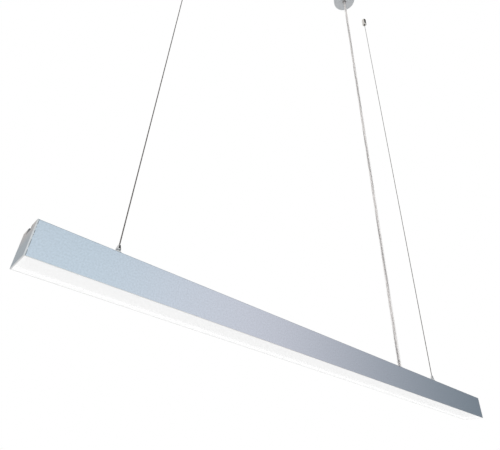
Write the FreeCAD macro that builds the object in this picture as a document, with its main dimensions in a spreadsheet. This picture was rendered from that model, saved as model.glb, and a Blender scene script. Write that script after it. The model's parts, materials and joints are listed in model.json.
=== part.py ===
import FreeCAD, Part

import math
import os
import re

import Sketcher
from FreeCAD import Placement, Rotation, Vector

# A linear pendant light: a square extruded aluminium housing with an opal diffuser, held by two
# steel wires from ceiling couplers, with a power cord from a round ceiling canopy.
# The origin lies on the ceiling, midway between the two wires. X runs along the lamp, Z is up.

doc = FreeCAD.newDocument("PendantLight")

# ---------------------------------------------------------------- sizes, in millimetres
SIZES = [
    # Where things hang
    ("drop", 1660, "ceiling to the top of the housing"),
    ("wire_spacing", 885, "between the two wires"),
    ("lamp_shift", 42.5, "middle of the wires to the middle of the lamp"),
    ("cord_x", 287.5, "middle of the wires to the power cord"),
    ("pivot_drop", 30, "ceiling to the points that the wires and cord swing from"),
    ("mouth_rise", 24, "top of the housing to the points that the wires bend at"),
    # Housing
    ("lamp_length", 1200, "over both end caps"),
    ("housing_width", 50, ""),
    ("housing_height", 50, ""),
    ("wall", 2, "side walls, top and channel floor"),
    ("slot_width", 9.5, "mouth of the T slot in the top"),
    ("channel_width", 17, "inside the T slot"),
    ("channel_depth", 5.5, "inside the T slot, under its lips"),
    ("ledge_height", 15, "bottom edge to the underside of the tray ledges"),
    ("ledge_thickness", 1.5, ""),
    ("ledge_depth", 3.5, ""),
    ("snap_height", 9.4, "bottom edge to the underside of the diffuser's snap ribs"),
    ("snap_thickness", 1.2, ""),
    ("snap_depth", 1.0, ""),
    ("boss_radius", 3.0, "bosses that the end caps' pegs go in"),
    ("boss_sink", 0.4, "how far the bosses sink into the walls"),
    ("peg_radius", 1.6, ""),
    ("peg_length", 12, ""),
    # End caps
    ("cap_thickness", 2, ""),
    ("cap_chamfer", 0.4, ""),
    ("notch_depth", 5, "notch in the cap where the T slot runs out"),
    ("lug_depth", 5, "how far the cap's lug reaches in"),
    ("lug_height", 7, ""),
    # Diffuser
    ("diffuser_recess", 4, "bottom edge to the diffuser"),
    ("diffuser_thickness", 1.8, ""),
    ("leg_thickness", 1.2, ""),
    ("leg_gap", 1, "top of the legs to the tray ledges"),
    ("bead", 0.7, "how far the snap bead stands out over its rib"),
    # Gear tray, light boards and driver
    ("tray_thickness", 1.0, ""),
    ("tray_flange", 7, ""),
    ("tray_end_gap", 8, "cap to the end of the tray"),
    ("lead_hole_radius", 3, "in the tray, for the boards' leads"),
    ("lead_hole_beyond", 20, "driver's tab to that hole"),
    ("lead_hole_beside", 5, "edge of the boards to that hole"),
    ("board_end_gap", 12, "cap to the end of the boards"),
    ("board_width", 18, ""),
    ("board_thickness", 1.5, ""),
    ("board_gap", 4, "between the two boards"),
    ("package_size", 3, "light packages on the boards"),
    ("package_height", 0.8, ""),
    ("package_pitch", 24, ""),
    ("driver_length", 250, ""),
    ("driver_width", 30, ""),
    ("driver_room", 3, "over the driver"),
    ("driver_tab", 10, ""),
    ("driver_foot_height", 2, ""),
    ("small_screw_radius", 1.6, ""),
    ("core_spacing", 5, "between the cores at the terminal blocks"),
    ("block_length", 30, "mains terminal block"),
    ("block_width", 20, ""),
    ("block_height", 13, ""),
    ("block_offset", 40, "power cord to the near face of the terminal block"),
    # Wires and grippers
    ("wire_radius", 1.0, ""),
    ("foot_length", 12, "stretch of the left wire at the gripper's mouth"),
    ("foot_gap", 0.3, "gripper's mouth to that stretch"),
    ("tail_end_rise", -6.5, "top of the housing to the cut ends of the wires"),
    ("gripper_wall", 1.6, ""),
    ("gripper_height", 13, ""),
    ("flange_radius", 7, ""),
    ("flange_height", 1.5, ""),
    ("stud_wall", 1.7, ""),
    ("bore_taper", 1.05, "how much wider the gripper's bore is at the spring than at the nose"),
    ("bore_taper_height", 4.5, ""),
    ("nose_radius", 3.9, ""),
    ("nose_tip_wall", 0.7, ""),
    ("release_travel", 2.5, ""),
    ("ball_radius", 0.9, "gripping balls"),
    ("nut_side_gap", 0.5, "slot nut to the channel's walls"),
    ("nut_floor_gap", 0.7, "slot nut to the channel's floor"),
    ("nut_length", 28, ""),
    ("nut_screw_radius", 2, ""),
    ("fit_gap", 0.2, "clearance of sliding and slip fits"),
    # Ceiling couplers
    ("coupler_radius", 9, ""),
    ("coupler_height", 36, ""),
    ("coupler_base_height", 13, ""),
    ("coupler_boss_radius", 7, ""),
    ("screw_hole_radius", 2.25, "holes for the ceiling screws"),
    ("end_ball_radius", 2.5, "ball on the top end of each wire"),
    # Power cord and its glands
    ("cord_radius", 4.5, ""),
    ("core_radius", 1.0, ""),
    ("core_pitch", 2.2, "between the cores inside the cord"),
    ("core_bend", 14, "how far the cores bend over"),
    ("cord_end_beyond", 2, "gland nut to the end of the cord's sheath"),
    ("thin_core_radius", 0.8, "leads of the light boards"),
    ("thin_core_pitch", 2.8, "between those leads in their hole"),
    ("thin_core_start_pitch", 6, "between those leads at the driver"),
    ("gland_wall", 3, "of the sleeve at its foot"),
    ("gland_stem_wall", 1.4, ""),
    ("gland_collar_gap", 0.3, "gland's collar to the channel's walls"),
    ("gland_height", 12, "above the housing"),
    ("gland_nut_wall", 3.1, "stem to the nut's corners"),
    ("gland_nut_height", 3.5, ""),
    # Canopy
    ("canopy_radius", 45, ""),
    ("canopy_height", 26, ""),
    ("canopy_wall", 1.5, ""),
    ("cup_edge", 3, "slanted edge round the cup's underside"),
    ("cup_rim_gap", 0.3, "ceiling to the cup's rim"),
    ("cup_tab_gap", 1, "cup's wall to the tabs of the base plate"),
    ("cup_tab_thickness", 3, ""),
    ("cup_tab_width", 10, ""),
    ("cup_screw_radius", 1.5, ""),
    ("cup_screw_head_radius", 2.6, ""),
    ("cup_screw_head_height", 1.6, ""),
    ("canopy_hole_spacing", 60, ""),
    ("canopy_block_offset", 10, "middle of the canopy to its terminal block"),
    ("supply_hole_offset", 15, "middle of the canopy to the supply hole"),
    ("supply_hole_radius", 8, ""),
    ("canopy_gland_height", 10, ""),
    ("canopy_gland_wall", 5.5, ""),
]
sheet = doc.addObject("Spreadsheet::Sheet", "Sizes")
for row, (alias, value, note) in enumerate(SIZES, start=1):
    sheet.set(f"A{row}", alias)
    sheet.set(f"B{row}", str(value))
    sheet.set(f"C{row}", note)
    sheet.setAlias(f"B{row}", alias)
doc.recompute()
ALIASES = {alias for alias, value, note in SIZES}


# ---------------------------------------------------------------- helpers
def bound(expression):
    """The expression with each size's name pointed at the sheet."""
    return re.sub(r"[a-z_]+", lambda word: f"Sizes.{word.group()}" if word.group() in ALIASES
                  else word.group(), str(expression))


def number(expression):
    return float(sheet.evalExpression(bound(expression)))


def bind(thing, **properties):
    """Bind properties such as Length or Placement__Base__x to expressions of the sizes."""
    for name, expression in properties.items():
        thing.setExpression(name.replace("__", "."), bound(expression))
    return thing


def place(thing, x="0", y="0", z="0"):
    return bind(thing, Placement__Base__x=x, Placement__Base__y=y, Placement__Base__z=z)


def new_body(label):
    part_body = doc.addObject("PartDesign::Body", label)
    part_body.Label = label
    return part_body


def new_sketch(body, plane, offset="0"):
    sketch = body.newObject("Sketcher::SketchObject", f"{body.Name}_sketch")
    origin_plane = next(f for f in body.Origin.OriginFeatures if f.Role == plane)
    sketch.AttachmentSupport = [(origin_plane, "")]
    sketch.MapMode = "FlatFace"
    bind(sketch, AttachmentOffset__Base__z=offset)
    return sketch


def fix(sketch, kind, geometry, point, expression):
    """Tie one coordinate of a point to an expression, or to the axis where it is zero."""
    value = number(expression)
    if abs(value) < 1e-9:
        axis = -2 if kind == "DistanceX" else -1
        sketch.addConstraint(Sketcher.Constraint("PointOnObject", geometry, point, axis))
        return
    datum = sketch.addConstraint(Sketcher.Constraint(kind, -1, 1, geometry, point, value))
    sketch.setExpression(f"Constraints[{datum}]", bound(expression))


def add_outline(sketch, points):
    """A closed outline through points given as pairs of expressions."""
    first = sketch.GeometryCount
    places = [Vector(number(u), number(v), 0) for u, v in points]
    count = len(points)
    for i in range(count):
        sketch.addGeometry(Part.LineSegment(places[i], places[(i + 1) % count]))
    for i in range(count):
        sketch.addConstraint(Sketcher.Constraint("Coincident", first + i, 2, first + (i + 1) % count, 1))
    for i, (u, v) in enumerate(points):
        fix(sketch, "DistanceX", first + i, 1, u)
        fix(sketch, "DistanceY", first + i, 1, v)


def add_rectangle(sketch, u_low, u_high, v_low, v_high):
    add_outline(sketch, [(u_low, v_low), (u_high, v_low), (u_high, v_high), (u_low, v_high)])


def add_circle(sketch, u, v, radius):
    centre = Vector(number(u), number(v), 0)
    circle = sketch.addGeometry(Part.Circle(centre, Vector(0, 0, 1), number(radius)))
    fix(sketch, "DistanceX", circle, 3, u)
    fix(sketch, "DistanceY", circle, 3, v)
    datum = sketch.addConstraint(Sketcher.Constraint("Radius", circle, number(radius)))
    sketch.setExpression(f"Constraints[{datum}]", bound(radius))


def extrude(body, sketch, length, centred=False, backwards=False, cut=False):
    """A pad or a pocket, checked to have changed the volume the right way."""
    doc.recompute()
    before = body.Shape.Volume if body.Tip else 0
    kind = "PartDesign::Pocket" if cut else "PartDesign::Pad"
    feature = body.newObject(kind, f"{sketch.Name}_{'pocket' if cut else 'pad'}")
    feature.Profile = sketch
    feature.Midplane = centred
    feature.Reversed = backwards
    bind(feature, Length=length)
    doc.recompute()
    change = body.Shape.Volume - before
    if (change >= 0) == cut:
        raise RuntimeError(f"{feature.Name} changed nothing")
    return feature


def turned(label, profile, x="0", z="0"):
    """A body turned about a vertical axis, from (radius, height) pairs."""
    body = new_body(label)
    sketch = new_sketch(body, "XZ_Plane")
    add_outline(sketch, profile)
    turn = body.newObject("PartDesign::Revolution", f"{label}_turn")
    turn.Profile = sketch
    turn.ReferenceAxis = (sketch, ["V_Axis"])
    turn.Angle = 360
    return place(body, x=x, z=z)


def bar(label, x_low, x_high, y_low, y_high, z_low, z_high):
    """A box between expressions, in its own frame."""
    box = doc.addObject("Part::Box", label)
    bind(box, Length=f"({x_high}) - ({x_low})", Width=f"({y_high}) - ({y_low})",
         Height=f"({z_high}) - ({z_low})")
    return place(box, x_low, y_low, z_low)


def rod(label, radius, z_low, z_high, x="0", y="0"):
    """An upright cylinder between two heights."""
    cylinder = doc.addObject("Part::Cylinder", label)
    bind(cylinder, Radius=radius, Height=f"({z_high}) - ({z_low})")
    return place(cylinder, x, y, z_low)


def cut(label, base, *tools):
    for index, tool in enumerate(tools):
        last = index == len(tools) - 1
        base_cut = doc.addObject("Part::Cut", label if last else f"{label}_cut_{index}")
        base_cut.Base = base
        base_cut.Tool = tool
        base = base_cut
    return base


def fuse(label, *pieces):
    union = doc.addObject("Part::MultiFuse", label)
    union.Shapes = list(pieces)
    return union


def grouped(label, *pieces):
    group = doc.addObject("Part::Compound", label)
    group.Links = list(pieces)
    return group


def own_shape(label, shape, x="0", y="0", z="0"):
    feature = doc.addObject("Part::Feature", label)
    feature.Shape = shape
    return place(feature, x, y, z)


def lead(name, points, radius):
    """A tube along straight runs joined by tangent arcs, each as large as its two runs allow."""
    corners = [Vector(*point) for point in points]
    edges = []
    start = corners[0]
    radii = []
    for before, corner, after in zip(corners, corners[1:], corners[2:]):
        run_in = before - corner
        run_out = after - corner
        half_turn = (math.pi - run_in.getAngle(run_out)) / 2
        reach = 0.45 * min(run_in.Length, run_out.Length)
        radii.append(reach / math.tan(half_turn))
        arc_start = corner + run_in.normalize() * reach
        arc_end = corner + run_out.normalize() * reach
        middle_way = (run_in + run_out).normalize()
        arc_middle = corner + middle_way * (radii[-1] / math.cos(half_turn) - radii[-1])
        edges.append(Part.LineSegment(start, arc_start).toShape())
        edges.append(Part.Arc(arc_start, arc_middle, arc_end).toShape())
        start = arc_end
    edges.append(Part.LineSegment(start, corners[-1]).toShape())
    path = Part.Wire(edges)
    section = Part.Wire([Part.Circle(corners[0], corners[1] - corners[0], radius).toShape()])
    tube = path.makePipeShell([section], True, False)
    expected = math.pi * radius ** 2 * path.Length
    if abs(tube.Volume - expected) > 0.01 * expected:
        raise RuntimeError(f"{name} has the wrong volume")
    print(name, "length", round(path.Length, 1), "radii", [round(r, 1) for r in radii])
    return tube


# Sizes that follow from the others
WIRE_HOLE = "(wire_radius + fit_gap)"
STUD = "(wire_radius + fit_gap + stud_wall)"
GUIDE = "(wire_radius + 2 * ball_radius + fit_gap / 4)"
CHAMBER = f"({GUIDE} + bore_taper)"
GRIPPER = f"({CHAMBER} + gripper_wall)"
NUT_HEIGHT = "(channel_depth - nut_floor_gap)"
NUT_HALF_WIDTH = "(channel_width / 2 - nut_side_gap)"
GLAND_STEM = "(cord_radius + gland_stem_wall)"
GLAND_COLLAR = "(channel_width / 2 - gland_collar_gap)"

# Heights of the lamp's own frame, whose zero is the housing's bottom edge
LAMP_Z = "-drop - housing_height"
TOP_Z = "-drop"
LIP_UNDER = "housing_height - wall"
FLOOR_TOP = "housing_height - wall - channel_depth"
FLOOR_UNDER = "housing_height - 2 * wall - channel_depth"
TRAY_Z = "ledge_height + ledge_thickness"
TRAY_TOP = "ledge_height + ledge_thickness + tray_thickness"
INNER_Y = "housing_width / 2 - wall"
HOUSING_LENGTH = "lamp_length - 2 * cap_thickness"
BOARD_LENGTH = "(lamp_length / 2 - cap_thickness - board_end_gap - board_gap / 2)"
BOSS_Y = "housing_width / 2 - wall - boss_radius + boss_sink"
BOSS_Z = "housing_height - wall - boss_radius + boss_sink"
LEAD_HOLE_Y = "board_width / 2 + lead_hole_beside"


# ---------------------------------------------------------------- housing and end caps
def make_housing():
    body = new_body("housing")
    outside = new_sketch(body, "YZ_Plane")
    add_rectangle(outside, "-housing_width / 2", "housing_width / 2", "0", "housing_height")
    extrude(body, outside, HOUSING_LENGTH, centred=True)
    cavity = new_sketch(body, "YZ_Plane")
    channel_side = "channel_width / 2 + wall"
    add_outline(cavity, [
        (f"-({INNER_Y})", "0"),
        (INNER_Y, "0"),
        (INNER_Y, LIP_UNDER),
        (channel_side, LIP_UNDER),
        (channel_side, FLOOR_UNDER),
        (f"-({channel_side})", FLOOR_UNDER),
        (f"-({channel_side})", LIP_UNDER),
        (f"-({INNER_Y})", LIP_UNDER),
    ])
    extrude(body, cavity, "lamp_length", centred=True, cut=True)
    channel = new_sketch(body, "YZ_Plane")
    add_outline(channel, [
        ("-slot_width / 2", "housing_height"),
        ("-slot_width / 2", LIP_UNDER),
        ("-channel_width / 2", LIP_UNDER),
        ("-channel_width / 2", FLOOR_TOP),
        ("channel_width / 2", FLOOR_TOP),
        ("channel_width / 2", LIP_UNDER),
        ("slot_width / 2", LIP_UNDER),
        ("slot_width / 2", "housing_height"),
    ])
    extrude(body, channel, "lamp_length", centred=True, cut=True)
    for side in ("-", ""):
        wall_y = f"{side}({INNER_Y} + wall / 2)"
        ribs = new_sketch(body, "YZ_Plane")
        add_rectangle(ribs, f"{side}({INNER_Y} - ledge_depth)", wall_y,
                      "ledge_height", "ledge_height + ledge_thickness")
        add_rectangle(ribs, f"{side}({INNER_Y} - snap_depth)", wall_y,
                      "snap_height", "snap_height + snap_thickness")
        add_circle(ribs, f"{side}({BOSS_Y})", BOSS_Z, "boss_radius")
        extrude(body, ribs, HOUSING_LENGTH, centred=True)
        bore = new_sketch(body, "YZ_Plane")
        add_circle(bore, f"{side}({BOSS_Y})", BOSS_Z, "peg_radius + fit_gap / 4")
        extrude(body, bore, "lamp_length", centred=True, cut=True)
    gland_hole = new_sketch(body, "XY_Plane", "housing_height")
    add_circle(gland_hole, "cord_x - lamp_shift", "0", f"{GLAND_COLLAR} + fit_gap")
    extrude(body, gland_hole, "wall", cut=True)
    floor_hole = new_sketch(body, "XY_Plane", FLOOR_TOP)
    add_circle(floor_hole, "cord_x - lamp_shift", "0", f"{GLAND_STEM} + fit_gap")
    extrude(body, floor_hole, "wall", cut=True)
    return place(body, x="lamp_shift", z=LAMP_Z)


def make_end_cap(label, mirrored):
    """A plate with a notch for the T slot, two pegs for the bosses and a lug between the walls."""
    body = new_body(label)
    plate = new_sketch(body, "YZ_Plane")
    add_outline(plate, [
        ("-housing_width / 2", "0"),
        ("housing_width / 2", "0"),
        ("housing_width / 2", "housing_height"),
        ("slot_width / 2", "housing_height"),
        ("slot_width / 2", "housing_height - notch_depth"),
        ("-slot_width / 2", "housing_height - notch_depth"),
        ("-slot_width / 2", "housing_height"),
        ("-housing_width / 2", "housing_height"),
    ])
    pad = extrude(body, plate, "cap_thickness", backwards=not mirrored)
    outward = 1 if mirrored else -1
    face_places = [outward * face.CenterOfMass.x for face in pad.Shape.Faces]
    outer_face = face_places.index(max(face_places)) + 1
    chamfer = body.newObject("PartDesign::Chamfer", f"{label}_chamfer")
    chamfer.Base = (pad, [f"Face{outer_face}"])
    bind(chamfer, Size="cap_chamfer")
    pegs = new_sketch(body, "YZ_Plane")
    for side in ("-", ""):
        add_circle(pegs, f"{side}({BOSS_Y})", BOSS_Z, "peg_radius")
    extrude(body, pegs, "peg_length", backwards=mirrored)
    lug = new_sketch(body, "YZ_Plane")
    lug_low = f"{TRAY_TOP} + tray_flange + fit_gap"
    add_rectangle(lug, f"-({INNER_Y} - fit_gap)", f"{INNER_Y} - fit_gap", lug_low, f"{lug_low} + lug_height")
    extrude(body, lug, "lug_depth", backwards=mirrored)
    side = "+" if mirrored else "-"
    return place(body, x=f"lamp_shift {side} (lamp_length / 2 - cap_thickness)", z=LAMP_Z)


# ---------------------------------------------------------------- diffuser, tray and light boards
def make_diffuser():
    """The opal strip, with two legs whose beads sit over the housing's snap ribs."""
    body = new_body("diffuser")
    half = f"{INNER_Y} - fit_gap"
    leg_out = f"{INNER_Y} - snap_depth - fit_gap"
    bead_low = "snap_height + snap_thickness + fit_gap / 2"
    top = "ledge_height - leg_gap"
    face_top = "diffuser_recess + diffuser_thickness"
    right = [
        (half, "diffuser_recess"),
        (half, face_top),
        (leg_out, face_top),
        (leg_out, bead_low),
        (f"{leg_out} + bead", bead_low),
        (f"{leg_out} + bead", f"{bead_low} + bead"),
        (leg_out, top),
        (f"{leg_out} - leg_thickness", top),
        (f"{leg_out} - leg_thickness", face_top),
    ]
    left = [(f"-({u})", v) for u, v in reversed(right)]
    sketch = new_sketch(body, "YZ_Plane")
    add_outline(sketch, right + left)
    extrude(body, sketch, f"{HOUSING_LENGTH} - 2 * fit_gap", centred=True)
    return place(body, x="lamp_shift", z=LAMP_Z)


def make_gear_tray():
    """A folded sheet tray on the ledges, with a hole for the boards' leads."""
    body = new_body("gear_tray")
    half = f"{INNER_Y} - fit_gap"
    sketch = new_sketch(body, "YZ_Plane")
    add_outline(sketch, [
        (f"-({half})", TRAY_Z),
        (half, TRAY_Z),
        (half, f"{TRAY_TOP} + tray_flange"),
        (f"{half} - tray_thickness", f"{TRAY_TOP} + tray_flange"),
        (f"{half} - tray_thickness", TRAY_TOP),
        (f"-({half} - tray_thickness)", TRAY_TOP),
        (f"-({half} - tray_thickness)", f"{TRAY_TOP} + tray_flange"),
        (f"-({half})", f"{TRAY_TOP} + tray_flange"),
    ])
    extrude(body, sketch, f"{HOUSING_LENGTH} - 2 * tray_end_gap", centred=True)
    hole = new_sketch(body, "XY_Plane", TRAY_TOP)
    add_circle(hole, "-driver_length / 2 - driver_tab - lead_hole_beyond", LEAD_HOLE_Y, "lead_hole_radius")
    extrude(body, hole, "tray_thickness", cut=True)
    return place(body, x="lamp_shift", z=LAMP_Z)


def make_light_board(label, side):
    """A board against the tray's underside, on one side of the middle."""
    near = f"lamp_shift {side} board_gap / 2"
    far = f"lamp_shift {side} (board_gap / 2 + {BOARD_LENGTH})"
    low, high = (near, far) if side == "+" else (far, near)
    under_tray = f"{LAMP_Z} + {TRAY_Z}"
    return bar(label, low, high, "-board_width / 2", "board_width / 2",
               f"{under_tray} - board_thickness", under_tray)


def make_light_packages():
    """The small square light packages on both boards, all alike."""
    size = number("package_size")
    height = number("package_height")
    pitch = number("package_pitch")
    count = int(number(BOARD_LENGTH) // pitch)
    board_middle = number(f"board_gap / 2 + {BOARD_LENGTH} / 2")
    boxes = []
    for side in (-1, 1):
        for i in range(count):
            x = side * board_middle + (i - (count - 1) / 2) * pitch
            boxes.append(Part.makeBox(size, size, height, Vector(x - size / 2, -size / 2, 0)))
    return own_shape("light_packages", Part.makeCompound(boxes), x="lamp_shift",
                     z=f"{LAMP_Z} + {TRAY_Z} - board_thickness - package_height")


# ---------------------------------------------------------------- driver and wiring in the housing
DRIVER_HEIGHT = f"({FLOOR_UNDER} - ({TRAY_TOP}) - driver_room)"
DRIVER_LOW_X = "lamp_shift - driver_length / 2"
DRIVER_HIGH_X = "lamp_shift + driver_length / 2"
DRIVER_SCREWS_X = [f"{DRIVER_LOW_X} - driver_tab / 2", f"{DRIVER_HIGH_X} + driver_tab / 2"]
BLOCK_HIGH_X = "cord_x - block_offset"
BLOCK_LOW_X = "cord_x - block_offset - block_length"


def make_driver():
    base_z = f"{LAMP_Z} + {TRAY_TOP}"
    case = bar("driver_case", DRIVER_LOW_X, DRIVER_HIGH_X, "-driver_width / 2", "driver_width / 2",
               base_z, f"{base_z} + {DRIVER_HEIGHT}")
    foot = bar("driver_foot", f"{DRIVER_LOW_X} - driver_tab", f"{DRIVER_HIGH_X} + driver_tab",
               "-driver_width / 2", "driver_width / 2", base_z, f"{base_z} + driver_foot_height")
    solid = fuse("driver_solid", case, foot)
    holes = [rod(f"driver_hole_{index}", "small_screw_radius + fit_gap / 2", f"{base_z} - 1",
                 f"{base_z} + driver_foot_height + 1", x=x)
             for index, x in enumerate(DRIVER_SCREWS_X)]
    return cut("driver", solid, *holes)


def make_screw(label, x, y, z, radius, length):
    """A pan head screw with a square socket, its head's underside at z."""
    head_height = f"1.2 * {radius}"
    head = rod(f"{label}_head", f"1.8 * {radius}", z, f"{z} + {head_height}", x, y)
    shank = rod(f"{label}_shank", radius, f"{z} - {length}", z, x, y)
    socket = bar(f"{label}_socket", f"{x} - {radius} / 2", f"{x} + {radius} / 2", f"{y} - {radius} / 2",
                 f"{y} + {radius} / 2", f"{z} + {head_height} / 2", f"{z} + {head_height} + 1")
    return cut(label, fuse(f"{label}_solid", head, shank), socket)


def make_driver_screws():
    top = f"{LAMP_Z} + {TRAY_TOP} + driver_foot_height"
    screws = [make_screw(f"driver_screw_{index}", x, "0", top, "small_screw_radius", "driver_foot_height")
              for index, x in enumerate(DRIVER_SCREWS_X)]
    return grouped("driver_screws", *screws)


def make_terminal_block():
    """A three-way block whose wire entries face the cord and the driver."""
    base_z = f"{LAMP_Z} + {TRAY_TOP}"
    block = bar("mains_block_body", BLOCK_LOW_X, BLOCK_HIGH_X, "-block_width / 2", "block_width / 2",
                base_z, f"{base_z} + block_height")
    tools = []
    for index in (-1, 0, 1):
        well = rod(f"mains_block_well_{index + 1}", "small_screw_radius", f"{base_z} + block_height - 3",
                   f"{base_z} + block_height + 1", x=f"({BLOCK_LOW_X} + {BLOCK_HIGH_X}) / 2",
                   y=f"{index} * core_spacing")
        tools.append(well)
    return cut("mains_terminal_block", block, *tools)


def make_supply_cores():
    """Three cores from the cord's end inside the housing, bending over to the terminal block."""
    cord_x = number("cord_x")
    block_x = number(BLOCK_HIGH_X)
    entry_z = number(f"{TRAY_TOP} + block_height / 2")
    start_z = number(f"{FLOOR_UNDER} - gland_nut_height - cord_end_beyond")
    radius = number("core_radius")
    cores = []
    for index in (-1, 0, 1):
        y_start = index * number("core_pitch")
        y_end = index * number("core_spacing")
        points = [(cord_x, y_start, start_z), (cord_x, y_start, entry_z + 1),
                  (cord_x - number("core_bend"), y_end, entry_z), (block_x, y_end, entry_z)]
        cores.append(lead(f"supply_core_{index + 1}", points, radius))
    return own_shape("supply_cores", Part.makeCompound(cores), z=LAMP_Z)


def make_driver_leads():
    """Straight leads between the terminal block and the driver's input end."""
    entry_z = f"{LAMP_Z} + {TRAY_TOP} + block_height / 2"
    pieces = []
    for index in (-1, 0, 1):
        wire = doc.addObject("Part::Cylinder", f"driver_lead_{index + 1}")
        bind(wire, Radius="core_radius", Height=f"{BLOCK_LOW_X} - ({DRIVER_HIGH_X})")
        wire.Placement = Placement(Vector(0, 0, 0), Rotation(Vector(0, 1, 0), 90))
        place(wire, DRIVER_HIGH_X, f"{index} * core_spacing", entry_z)
        pieces.append(wire)
    return grouped("driver_leads", *pieces)


def make_board_leads():
    """Two leads from the driver's output end, down through the tray to the boards."""
    driver_x = number(DRIVER_LOW_X)
    hole_x = number(f"{DRIVER_LOW_X} - driver_tab - lead_hole_beyond")
    hole_y = number(LEAD_HOLE_Y)
    high = number(f"{TRAY_TOP} + {DRIVER_HEIGHT} / 2")
    low = number(f"{TRAY_Z} - board_thickness")
    radius = number("thin_core_radius")
    leads = []
    for side in (-1, 1):
        start_y = side * number("thin_core_start_pitch / 2")
        end_x = hole_x + side * number("thin_core_pitch / 2")
        points = [(driver_x, start_y, high), (driver_x - number("core_bend"), start_y, high),
                  (end_x, hole_y, high - 4), (end_x, hole_y, low + 0.4)]
        leads.append(lead(f"board_lead_{side}", points, radius))
    return own_shape("board_leads", Part.makeCompound(leads), z=LAMP_Z)


# ---------------------------------------------------------------- grippers in the T slot
NECK_END = "(gripper_height - release_travel)"
SPRING_WIDE_TOP = "(gripper_height - release_travel - bore_taper_height)"
SPRING_SEAT = "(2 * flange_height)"
NUT_SCREW_X = "+ nut_length / 2 - nut_screw_radius - 2"


def make_slot_nut(label, x):
    """A nut in the channel, with a rib that fills the slot's mouth."""
    x_low = f"{x} - nut_length / 2"
    x_high = f"{x} + nut_length / 2"
    block = bar(f"{label}_block", x_low, x_high, f"-{NUT_HALF_WIDTH}", NUT_HALF_WIDTH,
                f"{TOP_Z} - wall - {NUT_HEIGHT}", f"{TOP_Z} - wall")
    rib = bar(f"{label}_rib", x_low, x_high, "-slot_width / 2 + fit_gap", "slot_width / 2 - fit_gap",
              f"{TOP_Z} - wall", f"{TOP_Z} - fit_gap")
    low = f"{TOP_Z} - wall - {NUT_HEIGHT} - 1"
    high = f"{TOP_Z} + 1"
    holes = [rod(f"{label}_stud_hole", f"{STUD} + fit_gap / 2", low, high, x),
             rod(f"{label}_screw_hole", "nut_screw_radius + fit_gap / 4", low, high, f"{x} {NUT_SCREW_X}")]
    return cut(label, fuse(f"{label}_solid", block, rib), *holes)


def make_nut_screw(label, x):
    """A grub screw through one end of a slot nut, tight against the channel's floor."""
    top = f"{TOP_Z} - fit_gap"
    shank = rod(f"{label}_shank", "nut_screw_radius", f"{TOP_Z} - wall - channel_depth", top, x)
    socket = bar(f"{label}_socket", f"{x} - nut_screw_radius / 2", f"{x} + nut_screw_radius / 2",
                 "-nut_screw_radius / 2", "nut_screw_radius / 2", f"{top} - 2", f"{top} + 1")
    return cut(label, shank, socket)


def make_gripper_body(label, x):
    """A flanged tube on a hollow stud. Its bore narrows upwards, so a pull on the wire grips."""
    return turned(label, [
        (WIRE_HOLE, f"-wall - {NUT_HEIGHT}"),
        (STUD, f"-wall - {NUT_HEIGHT}"),
        (STUD, "0"),
        ("flange_radius", "0"),
        ("flange_radius", "flange_height"),
        (GRIPPER, "flange_height"),
        (GRIPPER, "gripper_height - 0.5"),
        (f"{GRIPPER} - 0.5", "gripper_height"),
        (GUIDE, "gripper_height"),
        (GUIDE, NECK_END),
        (CHAMBER, SPRING_WIDE_TOP),
        (CHAMBER, SPRING_SEAT),
        (WIRE_HOLE, SPRING_SEAT),
    ], x=x, z=TOP_Z)


def make_gripper_nose(label, x):
    """The sprung conical nose: pushed in, it frees the wire."""
    shoulder = "gripper_height + release_travel"
    return turned(label, [
        (WIRE_HOLE, NECK_END),
        (f"{GUIDE} - fit_gap * 3 / 4", NECK_END),
        (f"{GUIDE} - fit_gap * 3 / 4", shoulder),
        ("nose_radius - 0.4", shoulder),
        ("nose_radius", f"{shoulder} + 0.4"),
        ("nose_radius", f"{shoulder} + 2"),
        (f"{WIRE_HOLE} + nose_tip_wall + 0.4", "mouth_rise - 1"),
        (f"{WIRE_HOLE} + nose_tip_wall", "mouth_rise"),
        (WIRE_HOLE, "mouth_rise"),
    ], x=x, z=TOP_Z)


def make_gripper_balls(label, x):
    """Three balls between the wire and the narrowing bore, under the nose."""
    reach = number("wire_radius + ball_radius + fit_gap / 4")
    z = number(f"{NECK_END} - ball_radius - fit_gap / 2")
    balls = []
    for turn in (0, 120, 240):
        angle = math.radians(turn)
        centre = Vector(reach * math.cos(angle), reach * math.sin(angle), z)
        balls.append(Part.makeSphere(number("ball_radius"), centre))
    return own_shape(label, Part.makeCompound(balls), x=x, z=TOP_Z)


def make_gripper_spring(label, x):
    """The space of the coil spring under the balls, as a plain sleeve."""
    top = f"{NECK_END} - 2 * ball_radius - fit_gap"
    return turned(label, [
        (f"{WIRE_HOLE} + fit_gap", SPRING_SEAT),
        (f"{CHAMBER} - 3 * fit_gap", SPRING_SEAT),
        (f"{CHAMBER} - 3 * fit_gap", f"{SPRING_WIDE_TOP} - 1"),
        (f"{GUIDE} - fit_gap", top),
        (f"{WIRE_HOLE} + fit_gap", top),
    ], x=x, z=TOP_Z)


# ---------------------------------------------------------------- wires and ceiling couplers
PIVOT_Z = "-pivot_drop"
MOUTH_Z = "-drop + mouth_rise"
WIRE_TOP_Z = "-pivot_drop - end_ball_radius + 0.3"


def make_end_ball(label, x):
    """The ball on a wire's top end, cut flat where the wire goes in."""
    ball = doc.addObject("Part::Sphere", f"{label}_round")
    bind(ball, Radius="end_ball_radius")
    place(ball, x, "0", PIVOT_Z)
    under = bar(f"{label}_under", f"{x} - end_ball_radius", f"{x} + end_ball_radius", "-end_ball_radius",
                "end_ball_radius", f"{PIVOT_Z} - end_ball_radius - 1", WIRE_TOP_Z)
    return cut(label, ball, under)


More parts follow.
